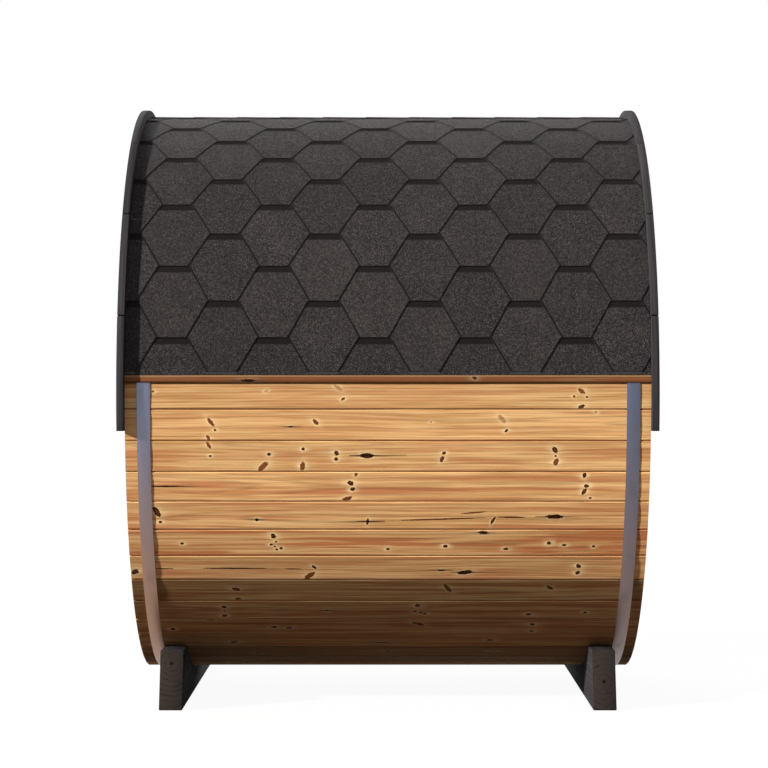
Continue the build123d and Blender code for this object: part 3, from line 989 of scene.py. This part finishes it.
def band(node, finish):
    """A strip round the barrel, resting on the corners of the staves."""
    low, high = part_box(node)
    inner, outer = CORNER_RADIUS + LIFT, (high.z - low.z) / 2
    corner = outward(STAVE_STEP / 2)
    bm = bmesh.new()
    section = [
        bm.verts.new(Vector((x, 0, AXIS)) + corner * radius)
        for x, radius in ((low.x, inner), (low.x, outer), (high.x, outer), (high.x, inner))
    ]
    edges = [bm.edges.new((section[number - 1], section[number])) for number in range(4)]
    bmesh.ops.spin(
        bm, geom=[*section, *edges], cent=(0, 0, AXIS), axis=ALONG_BARREL, angle=2 * pi,
        steps=STAVE_COUNT * STEPS_PER_STAVE, use_merge=True,
    )
    bmesh.ops.recalc_face_normals(bm, faces=bm.faces)
    rims = [edge for edge in bm.edges if edge.is_manifold and edge.calc_face_angle(0) > radians(60)]
    bmesh.ops.bevel(
        bm, geom=rims, offset=RIM_ROUNDING, segments=2, profile=0.5, affect="EDGES", material=-1,
    )
    strip = bm.loops.layers.uv.new("strip")
    for face in bm.faces:
        middle = clock_angle(face.calc_center_median())
        for loop in face.loops:
            turn = clock_angle(loop.vert.co)
            turn += 2 * pi * round((middle - turn) / (2 * pi))
            loop[strip].uv = (turn * outer, loop.vert.co.x)
    return piece(f"{node}_strip", bm, [finish], [node], radians(40))


# the front band takes the painted shaded copy, the rear band the painted lit copy
for node, finish in (("band_front", PAINTED_SHADED_STRIP), ("band_rear", PAINTED_LIT_STRIP)):
    made = band(node, finish)
    print(made.name, len(made.data.polygons), "faces")

# %% [markdown]
# ## Hinges and screws
# The hinges keep their nodes and only take the black finish. A screw head is a ten-sided disc, raised,
# with its top pressed in for the driver, and copied to each place. It has few faces, because the
# hinges and the fascia need ninety of them.

# %% Screws
HINGE_SCREW = 0.0045
HINGE_LEAF = 0.0025
SCREW_ASIDE = 0.02
SCREW_STEP = 0.03
# from the barrel's axis
HINGE_HEIGHTS = (-0.56, 0.02, 0.6)


def screw_head(target, place, looking, size):
    """Adds a screw head of some radius, its middle at a place, on a face that looks one way."""
    bm = bmesh.new()
    bmesh.ops.create_circle(bm, cap_ends=True, segments=10, radius=size)
    made = bmesh.ops.extrude_face_region(bm, geom=list(bm.faces))["geom"]
    lid = next(part for part in made if isinstance(part, bmesh.types.BMFace))
    bmesh.ops.translate(bm, verts=lid.verts, vec=(0, 0, size * 0.22))
    bmesh.ops.inset_individual(bm, faces=[lid], thickness=size * 0.5, depth=-size * 0.16)
    turn = looking.to_track_quat("Z", "Y").to_matrix().to_4x4()
    bmesh.ops.transform(bm, matrix=Matrix.Translation(place) @ turn, verts=bm.verts)
    bmesh.ops.recalc_face_normals(bm, faces=bm.faces)
    add_mesh(target, bm)


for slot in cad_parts["door_hinges"].material_slots:
    slot.material = BLACK
low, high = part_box("door_hinges")
hinge_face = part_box("door_jambs")[1].x + HINGE_LEAF
joint = (low.y + high.y) / 2
screws = bmesh.new()
for height in HINGE_HEIGHTS:
    for side in (-SCREW_ASIDE, SCREW_ASIDE):
        for step in (-SCREW_STEP, 0, SCREW_STEP):
            place = Vector((hinge_face, joint + side, AXIS + height + step))
            screw_head(screws, place, ALONG_BARREL, HINGE_SCREW)
made = piece("hinge_screws", screws, [BLACK])
print(made.name, len(made.data.polygons), "faces")

# %% [markdown]
# ## Fascia boards
# Curved boards stand on edge round the upper half, nine at each end, stained the colour of charcoal.
# Each is sawn from a straight plank, so its grain runs straight while its edges curve. That is why
# every board takes its direction from its own middle, and not from the round.

# %% Fascia
FASCIA_SCREW = 0.004
# each side of a board's middle, in radians, and in from the corners of the staves
SCREW_TURN = 0.14
SCREW_INSETS = (0.012, 0.03)


def fascia_axes(side):
    """Grain along the board. The seen face looks to the given side along X."""
    def axes(centre):
        angle = clock_angle(centre)
        return outward(angle).cross(ALONG_BARREL * side), outward(angle), Vector(centre)

    return axes


def dark_tone(centre):
    return chance.uniform(1.05, 1.3), chance.uniform(0, 1), chance.random()


for end, side in (("front", FRONT), ("rear", BACK)):
    node = f"fascia_{end}"
    boards = copy_of(node)
    soften(boards, EASED)
    middles = [clock_angle(middle_of(faces)) for faces in boards_in(boards)]
    lay_grain(boards, fascia_axes(side), dark_tone, any_knots)
    piece(f"{node}_boards", boards, [STAINED, STAINED_END], [node])
    screws = bmesh.new()
    face_x = max(abs(corner.x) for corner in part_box(node)) * side
    for angle in middles:
        for turn in (-SCREW_TURN, SCREW_TURN):
            for inset in SCREW_INSETS:
                place = Vector((face_x, 0, AXIS)) + outward(angle + turn) * (CORNER_RADIUS - inset)
                screw_head(screws, place, ALONG_BARREL * side, FASCIA_SCREW)
    piece(f"{node}_screws", screws, [BLACK])
    print(node, len(middles), "boards")

# %% [markdown]
# ## Cradles and eave battens
# Each cradle is one heavy beam across the barrel, stained like the fascia, hollowed on top to the
# barrel's curve and cut back at its ends. The battens under the shingles are pine of a deeper red, and
# much darker, which is partly painted shade from the shingles' edge above them.
# The seed of a tone also places the heart of the tree on an end, and 0.5 puts it in the middle.

# %% Cradles and battens
HEART_HEIGHT = 0.155
HEART_IN_MIDDLE = 0.5
BEAM_LIGHT = 0.95
BEAM_EASED = 0.003
# the battens are toned much darker, partly as painted shade from the shingles' edge above them
BATTEN_LIGHT_AND_SHADE = 0.42
BATTEN_REDNESS = 4.0


def cradle_axes(centre):
    along = Vector((0, 1 if centre.x > 0 else -1, 0))
    return along, UP, Vector((centre.x, centre.y, HEART_HEIGHT))


def beam_tone(centre):
    """The rear beam holds the heart of its tree, the front one was sawn beside it."""
    return BEAM_LIGHT, chance.uniform(0, 1), HEART_IN_MIDDLE if centre.x < 0 else 0.0


PICTURED_BATTEN_KNOTS = [(248, 380.5, 22, 5, 0, 1.0, 40), (474.7, 377.8, 8, 5.5, -20, 1.0, 0)]


def batten_tone(centre):
    return BATTEN_LIGHT_AND_SHADE, BATTEN_REDNESS, chance.random()


def batten_axes(centre):
    side = -1 if centre.y < 0 else 1
    return ALONG_BARREL, Vector((0, 0, -side)), Vector(centre)


def batten_knots(centre, reach, half):
    """Two knots where the picture has them. The other batten gets them by chance."""
    if centre.y > 0:
        return any_knots(centre, reach, half)
    along, across, origin = batten_axes(centre)
    face = Vector((origin.x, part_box("eave_batten_left")[0].y, origin.z))
    return pictured(PICTURED_BATTEN_KNOTS, face, along, across)


for end in ("front", "rear"):
    node = f"cradle_{end}"
    beam = copy_of(node)
    soften(beam, BEAM_EASED, sharper_than=radians(40))
    lay_grain(beam, cradle_axes, beam_tone, any_knots)
    made = piece(f"{node}_beam", beam, [STAINED, BEAM_END], [node])
    print(made.name, len(made.data.polygons), "faces")

for side in ("left", "right"):
    node = f"eave_batten_{side}"
    batten = copy_of(node)
    soften(batten, FINELY_EASED, sharper_than=radians(60), segments=1)
    lay_grain(batten, batten_axes, batten_tone, batten_knots)
    piece(f"{node}_pine", batten, [PINE, PINE_END], [node])

# %% [markdown]
# ## Floor
# The duckboards and their bearers lie inside and never show while the door is shut. They still get
# eased edges and grain, so that the building looks right to someone who takes it apart.

# %% Floor
def floor_axes(centre):
    return ALONG_BARREL, Vector((0, 1, 0)), Vector(centre)


for node, axes in (("floor_slats", floor_axes), ("floor_bearers", level_axes)):
    timber = copy_of(node)
    soften(timber, EASED, segments=1, sharper_than=radians(60))
    lay_grain(timber, axes, any_tone, no_knots)
    made = piece(f"{node}_pine", timber, [PINE, PINE_END], [node])
    print(made.name, len(made.data.polygons), "faces")

# %% [markdown]
# ## Shingles
# Bitumen shingles come as strips with three half-hexagon tabs. Each strip laps half of the one below,
# shifted by half a tab, and so whole hexagons show. Every strip carries a printed shadow just under
# the next row's tabs. Mineral granules cover it all. The grit is a cell pattern about two millimetres
# fine, and some tabs come out of a lighter or warmer mix than others.

# %% Shingle finish
GRIT_LAYERS = 20
GRANULES_IN_A_METRE = 430.0
# the painted shade along the right cut side is narrower, as the tab's own shadow falls there
RIGHT_SIDE_SPARED = 0.003
SIDE_SHADE_SPAN = (0.0058, 0.0075)
SHADOW_BLUR = 0.002


def grit(name, mid, pale, deep, shadow, shadow_from, shadow_to):
    """Granules on a sheet. Its maps hold metres along and up it, and metres to a tab's cut sides."""
    finish = Finish(name)
    along, up = finish.map("sheet")
    to_left, to_right = finish.map("cut_sides")
    to_side = finish.maths("MINIMUM", to_left, to_right + RIGHT_SIDE_SPARED)
    light, warmth, seed, _ = finish.attribute("tone")
    place = finish.vector(along, up, seed * GRIT_LAYERS)
    cells = {"Vector": place, "Scale": GRANULES_IN_A_METRE}
    pick, other = finish.parts(finish.node("ShaderNodeTexVoronoi", inputs=cells, output="Color"), 2)
    distance = finish.node("ShaderNodeTexVoronoi", inputs=cells)
    mottle = finish.noise(place, 90, 4, 0.7)
    cloud = finish.noise(place, 12, 3, 0.6)
    face = finish.mix(finish.smooth(pick, 0.55, 1.0), mid, pale)
    face = finish.mix(finish.smooth(other, 0.6, 0.9), face, deep)
    face = finish.mix(warmth * 0.5, face, toned(pale, 0.62))
    face = finish.scaled(face, light * (mottle * 1.5 + cloud * 0.5))
    edge = up + (mottle - 0.5) * 0.006
    band = finish.smooth(edge, shadow_from - SHADOW_BLUR, shadow_from + SHADOW_BLUR)
    band = band * (1 - finish.smooth(edge, shadow_to, shadow_to + 2 * SHADOW_BLUR))
    # painted shade: a dark line along a tab's cut sides
    painted_shade = 1 - finish.smooth(to_side + mottle * 0.002, *SIDE_SHADE_SPAN)
    face = finish.mix(finish.maths("MAXIMUM", band * 0.95, painted_shade), face, shadow)
    height = distance * -0.2 + mottle * 0.0004
    return finish.surface(
        Base_Color=face,
        Roughness=0.86 + pick * 0.1,
        Specular_IOR_Level=0.12,
        Normal=finish.bump(height, 0.7),
    )


def bitumen(name, face, dust):
    """The cut edge of a shingle."""
    finish = Finish(name)
    place = finish.node("ShaderNodeTexCoord", output="Object")
    mix = finish.noise(place, 300, 3, 0.7)
    return finish.surface(
        Base_Color=finish.mix(mix, face, dust), Roughness=0.8, Normal=finish.bump(mix * 0.0006),
    )


# %% Shingle measures
ROWS_PER_SECTOR = 4
SHEET = 0.0024
LAP_STEP = 0.0025
TAB_PITCH = 1 / 3
TAB_FLAT = 0.099
FIRST_FLAT = -0.213
FIRST_BUTT = 0.0115
SHADOW_HEIGHT = 0.0225
COURSE_STRETCH = 1.012
SPREAD = 0.0011
SPREAD_FROM = 6
low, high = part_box("shingles_left_low")
EAVE = asin((low.z - AXIS) / CORNER_RADIUS)
BUTT_RADIUS = -low.y / cos(EAVE)
COURSE = COURSE_STRETCH * (asin((high.z - AXIS) / (BUTT_RADIUS - LAP_STEP)) - EAVE) / ROWS_PER_SECTOR
RISE = COURSE * CORNER_RADIUS
print(f"eave at {degrees(EAVE):.2f} degrees, courses {degrees(COURSE):.2f} degrees or {RISE * 1000:.0f} mm")

GRIT = grit(
    "shingle_grit",
    mid=colour(65, 60, 60),
    pale=colour(104, 97, 94),
    deep=colour(38, 34, 35),
    shadow=colour(32, 28, 27),
    shadow_from=2 * RISE - SHADOW_HEIGHT,
    shadow_to=2 * RISE,
)
EDGE = bitumen("shingle_edge", face=colour(24, 23, 23), dust=colour(46, 43, 42))
print("shingle finishes:", GRIT.name, EDGE.name)

# %% [markdown]
# A tab starts as one flat face, wider at its top. Its top edge is extruded up the sheet for the part
# that the next row laps, and one side edge is extruded to reach the next tab. The flat row gets its
# thickness, and last it is bent: how far up the sheet a point lies becomes an angle round the barrel.
# Along the cut sides of a tab the finish paints a dark line of shade, so each corner of a tab also
# carries its distance to both of them, and the finish darkens the last few millimetres.

# %% One row of shingles
HALF_FLAT = TAB_FLAT / 2
HALF_WIDE = (TAB_PITCH - TAB_FLAT) / 2
HEAD_CUTS = 3
SHEET_ROWS = 2.15
ROW_END = HALF_LENGTH - 0.0005


def row_angle(number):
    """Where a row starts. The last rows are spread a little more each, to end at the ridge."""
    return EAVE + number * COURSE + SPREAD * max(number - SPREAD_FROM, 0) ** 2


def flat_tab(bm, middle, top, butt):
    """One tab and the sheet above it, flat: X along, Y up the sheet."""
    corners = ((-HALF_FLAT, butt), (HALF_FLAT, butt), (HALF_WIDE, RISE), (-HALF_WIDE, RISE))
    tab = bm.faces.new([bm.verts.new((middle + x, y, 0)) for x, y in corners])
    cut_sides = bm.loops.layers.uv["cut_sides"]
    across, up = Vector((RISE - butt, HALF_WIDE - HALF_FLAT)).normalized()
    for loop, (x, y) in zip(tab.loops, corners):
        loop[cut_sides].uv = [(HALF_FLAT + way * x) * across + (y - butt) * up for way in (1, -1)]
    shoulder = tab.edges[2]
    above = bmesh.ops.extrude_edge_only(bm, edges=[shoulder])["geom"]
    head = verts_in(above)
    bmesh.ops.translate(bm, verts=head, vec=(0, top - RISE, 0))
    side = next(
        edge for vert in head for edge in vert.link_edges
        if all(abs(vert.co.x - middle - HALF_WIDE) < 1e-6 for vert in edge.verts)
    )
    beside = bmesh.ops.extrude_edge_only(bm, edges=[side])["geom"]
    reach = verts_in(beside)
    bmesh.ops.translate(bm, verts=reach, vec=(TAB_FLAT, 0, 0))
    faces = {face for vert in [*tab.verts, *head, *reach] for face in vert.link_faces}
    far_from_sides(cut_sides, faces - {tab})
    return faces


def far_from_sides(layer, faces):
    for face in faces:
        for loop in face.loops:
            loop[layer].uv = (1, 1)


def bend(bm, first_angle, side, drop, stretch=1.0):
    """Bends a flat row round the barrel. Its outer face drops as it runs up, to lie under the next."""
    for vert in bm.verts:
        along, up, thick = vert.co
        angle = first_angle + up * stretch / CORNER_RADIUS
        radius = BUTT_RADIUS - drop * up / RISE + thick
        vert.co = Vector((along, side * radius * cos(angle), AXIS + radius * sin(angle)))


def tone_faces(bm, layer, faces, tone):
    for face in faces:
        for loop in face.loops:
            loop[layer] = (*tone, 0.0)


def shingle_row(number, side):
    """A row of tabs on one side of the ridge, as a closed mesh."""
    bm = bmesh.new()
    sheet = bm.loops.layers.uv.new("sheet")
    bm.loops.layers.uv.new("cut_sides")
    tone = bm.loops.layers.float_color.new("tone")
    begin = row_angle(number)
    stretch = (row_angle(number + 2) - begin) / (2 * COURSE)
    top = min(SHEET_ROWS * RISE, (pi / 2 - begin) * CORNER_RADIUS / stretch)
    start = FIRST_FLAT + TAB_PITCH * (0.5 if number % 2 else 0)
    first = int((-HALF_LENGTH - start) / TAB_PITCH) - 1
    last = int((HALF_LENGTH - start) / TAB_PITCH) + 1
    for count in range(first, last + 1):
        middle = start + count * TAB_PITCH
        faces = flat_tab(bm, middle, top, FIRST_BUTT if number == 0 else 0.0)
        mix = (chance.uniform(0.88, 1.1), chance.choice((0, 0, 0.15, 0.35)), chance.random())
        tone_faces(bm, tone, faces, mix)
    bmesh.ops.remove_doubles(bm, verts=bm.verts, dist=0.00005)
    for place, out in ((-ROW_END, -1), (ROW_END, 1)):
        slice_mesh(bm, (place, 0, 0), (out, 0, 0), clear_outer=True)
    for cut in range(1, 2 * HEAD_CUTS + 1):
        slice_mesh(bm, (0, cut * RISE / HEAD_CUTS, 0), (0, 1, 0))
    for face in bm.faces:
        for loop in face.loops:
            loop[sheet].uv = loop.vert.co.xy
    seen = list(bm.faces)
    lower = bmesh.ops.extrude_face_region(bm, geom=seen, use_keep_orig=True)["geom"]
    bmesh.ops.translate(bm, verts=verts_in(lower), vec=(0, 0, -SHEET))
    bend(bm, begin, side, LAP_STEP, stretch)
    bmesh.ops.recalc_face_normals(bm, faces=bm.faces)
    for face in bm.faces:
        middle = face.calc_center_median()
        away = Vector((0, middle.y, middle.z - AXIS)).normalized()
        face.material_index = FACE if abs(face.normal.dot(away)) > SLANT else END
    return bm


# %% Roof sides
for side_name, side in SIDES:
    for sector, sector_name in enumerate(("low", "middle", "top")):
        roof = bmesh.new()
        for number in range(sector * ROWS_PER_SECTOR, (sector + 1) * ROWS_PER_SECTOR):
            add_mesh(roof, shingle_row(number, side))
        node = f"shingles_{side_name}_{sector_name}"
        made = piece(f"roof_{side_name}_{sector_name}", roof, [GRIT, EDGE], [node], radians(40))
        print(made.name, len(made.data.polygons), "faces")

# %% [markdown]
# The cut-outs of the lowest row would leave the wood bare, so a starter strip with a straight edge
# lies under it. Just under each tab of the lowest row a thin black sheet lies on it as a painted
# shadow, which shows as short black lines. The heads of the top rows meet at the ridge, where bent
# shingles lap along the barrel.

# %% Flat sheets
def flat_sheet(bm, low, high, cuts):
    """A flat rectangle, cut across so that it can bend."""
    grid = bmesh.ops.create_grid(bm, x_segments=1, y_segments=cuts, size=0.5)["verts"]
    size = Vector((high[0] - low[0], high[1] - low[1], 1))
    middle = Vector(((high[0] + low[0]) / 2, (high[1] + low[1]) / 2, 0))
    bmesh.ops.scale(bm, verts=grid, vec=size)
    bmesh.ops.translate(bm, verts=grid, vec=middle)


def mapped_sheet(bm, tone, shift, thickness=SHEET):
    """Lays the sheet map on flat faces and gives them a lower face and edges."""
    sheet = bm.loops.layers.uv.new("sheet")
    cut_sides = bm.loops.layers.uv.new("cut_sides")
    layer = bm.loops.layers.float_color.new("tone")
    tone_faces(bm, layer, bm.faces, tone)
    for face in bm.faces:
        for loop in face.loops:
            loop[sheet].uv = loop.vert.co.xy + Vector((0, shift))
    lower = bmesh.ops.extrude_face_region(bm, geom=list(bm.faces), use_keep_orig=True)["geom"]
    bmesh.ops.translate(bm, verts=verts_in(lower), vec=(0, 0, -thickness))
    far_from_sides(cut_sides, bm.faces)
    tone_faces(bm, layer, bm.faces, tone)


# %% Starter strips
# where on the sheet map a piece starts: under the printed shadow, or above it
ONE_ROW = RISE
PAST_SHADOW = 3 * RISE
STARTER_HEIGHT = 1.1 * RISE
STARTER_CUTS = 4
STARTER_LIGHT = 0.95
STARTER_GAP = 0.0002
SHADOW_STRIP_FROM = 0.0045
SHADOW_STRIP_LAP = 0.002
SHADOW_STRIP_LIFT = 0.0003
FLATS_EACH_WAY = 3

for side_name, side in SIDES:
    starter = bmesh.new()
    flat_sheet(starter, (-ROW_END, 0.0), (ROW_END, STARTER_HEIGHT), STARTER_CUTS)
    mapped_sheet(starter, (STARTER_LIGHT, 0.0, chance.random()), ONE_ROW)
    bmesh.ops.translate(starter, verts=starter.verts, vec=(0, 0, -SHEET - STARTER_GAP))
    bend(starter, EAVE, side, LAP_STEP)
    bmesh.ops.recalc_face_normals(starter, faces=starter.faces)
    piece(f"roof_{side_name}_starter", starter, [GRIT])
    # painted shadow: thin black sheets just under the butts of the lowest tabs
    painted_shade = bmesh.new()
    for count in range(-FLATS_EACH_WAY, FLATS_EACH_WAY + 1):
        middle = FIRST_FLAT + count * TAB_PITCH
        low, high = max(middle - HALF_FLAT, -ROW_END), min(middle + HALF_FLAT, ROW_END)
        if low < high:
            flat_sheet(painted_shade, (low, SHADOW_STRIP_FROM), (high, FIRST_BUTT + SHADOW_STRIP_LAP), 1)
    bmesh.ops.translate(painted_shade, verts=painted_shade.verts, vec=(0, 0, -SHEET + SHADOW_STRIP_LIFT))
    bend(painted_shade, EAVE, side, LAP_STEP)
    bmesh.ops.recalc_face_normals(painted_shade, faces=painted_shade.faces)
    made = piece(f"roof_{side_name}_painted_shadow_strips", painted_shade, [EDGE])
    print(made.name, len(made.data.polygons), "faces")

# %% Ridge
CAP_COUNT = 11
CAP_CUTS = 8
CAP_LAP = 1.12
CAP_SHEET = 0.003
CAP_PROUD = 0.002
RIDGE_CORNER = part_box("ridge_cap")[1]
RIDGE_RADIUS = RIDGE_CORNER.z - AXIS
RIDGE_ANGLE = asin(RIDGE_CORNER.y / RIDGE_RADIUS)
cap_length = 2 * ROW_END / CAP_COUNT
ridge = bmesh.new()
for number in range(CAP_COUNT):
    cap = bmesh.new()
    start = -ROW_END + cap_length * number
    end = min(start + cap_length * CAP_LAP, ROW_END)
    reach = RIDGE_ANGLE * CORNER_RADIUS
    flat_sheet(cap, (start, -reach), (end, reach), CAP_CUTS)
    mapped_sheet(cap, (chance.uniform(0.85, 1.12), 0.0, chance.random()), PAST_SHADOW, CAP_SHEET)
    for vert in cap.verts:
        along, up, thick = vert.co
        radius = RIDGE_RADIUS + CAP_PROUD + thick - CAP_SHEET * (along - start) / cap_length / 2
        angle = up / CORNER_RADIUS
        vert.co = Vector((along, radius * sin(angle), AXIS + radius * cos(angle)))
    bmesh.ops.recalc_face_normals(cap, faces=cap.faces)
    add_mesh(ridge, cap)
made = piece("roof_ridge", ridge, [GRIT], ["ridge_cap"])
print(made.name, CAP_COUNT, "bent shingles")

# %% [markdown]
# ## Studio
# The picture has white all round and light that rakes along the staves from the left. A lamp with
# small shadows does that here, and a large soft one above fills in. The world is white to the camera
# and in reflections, and dim as a light, so that the barrel's lower half keeps its shade. Two lamps
# behind the ridge light the door end and the back, and reach no more of the pictured side than the
# last rows of shingles. The floor is nearly its own light where it is seen, so that it is white but
# keeps the shadow.

# %% World and floor
WHITE = (1.0, 1.0, 1.0, 1.0)
SKY = (0.72, 0.86, 1.0, 1.0)
WORLD_FILL = 0.2
FLOOR_GLOW = 0.94
FLOOR_BOUNCE = (0.07, 0.05, 0.045, 1.0)
FLOOR_HALF_WIDTH = 60
FLOOR_DROP = 0.0005


def seen_white(finish):
    """1 for camera, glossy and transmission rays, 0 for rays that carry light."""
    paths = [
        finish.node("ShaderNodeLightPath", output=f"Is {kind} Ray")
        for kind in ("Camera", "Glossy", "Transmission")
    ]
    return finish.maths("MAXIMUM", finish.maths("MAXIMUM", *paths[:2]), paths[2])


world = bpy.data.worlds.new("studio")
bpy.context.scene.world = world
sky = Finish("studio", world)
shown = sky.node("ShaderNodeBackground", inputs={"Color": WHITE})
fill = sky.node("ShaderNodeBackground", inputs={"Color": SKY, "Strength": WORLD_FILL})
sky.close(
    sky.node("ShaderNodeMixShader", inputs={0: seen_white(sky), 1: fill, 2: shown}),
    "ShaderNodeOutputWorld",
)


def floor_finish():
    """Mostly its own light where it is seen, with the object's shadow in the rest."""
    finish = Finish("studio_floor")
    lit = finish.node("ShaderNodeBsdfDiffuse", inputs={"Color": WHITE})
    glow = finish.node("ShaderNodeEmission", inputs={"Color": WHITE, "Strength": 1.0})
    pale = finish.node("ShaderNodeMixShader", inputs={0: FLOOR_GLOW, 1: lit, 2: glow})
    bounce = finish.node("ShaderNodeBsdfDiffuse", inputs={"Color": FLOOR_BOUNCE})
    shares = {0: seen_white(finish), 1: bounce, 2: pale}
    return finish.close(finish.node("ShaderNodeMixShader", inputs=shares))


floor_mesh = bpy.data.meshes.new("studio_floor")
bm = bmesh.new()
bmesh.ops.create_grid(bm, x_segments=1, y_segments=1, size=FLOOR_HALF_WIDTH)
bm.to_mesh(floor_mesh)
bm.free()
floor_mesh.materials.append(floor_finish())
studio_floor = bpy.data.objects.new("studio_floor", floor_mesh)
studio_floor.location.z = -FLOOR_DROP
bpy.context.scene.collection.objects.link(studio_floor)
print("studio floor", 2 * FLOOR_HALF_WIDTH, "m wide")


# %% Lamps
def sun(name, towards, strength, softness, tint=(1.0, 1.0, 1.0)):
    """A lamp far away. Towards is the direction from the object to the lamp."""
    data = bpy.data.lights.new(name, "SUN")
    data.energy = strength
    data.angle = radians(softness)
    data.color = tint
    lamp = bpy.data.objects.new(name, data)
    lamp.rotation_euler = Vector(towards).to_track_quat("Z", "Y").to_euler()
    bpy.context.scene.collection.objects.link(lamp)


sun("raking_lamp", (-2.0, -1.0, 0.85), strength=6.1, softness=3, tint=(1.0, 0.98, 0.95))
sun("top_lamp", (0.1, -0.66, 0.74), strength=0.7, softness=40, tint=(1.0, 0.97, 0.94))
sun("back_lamp", (-0.3, 0.85, 0.6), strength=2.2, softness=30)
sun("door_lamp", (0.8, 0.55, 0.25), strength=2.3, softness=20)
print(len(bpy.data.lights), "lamps")

bpy.context.scene.view_settings.view_transform = "Standard"
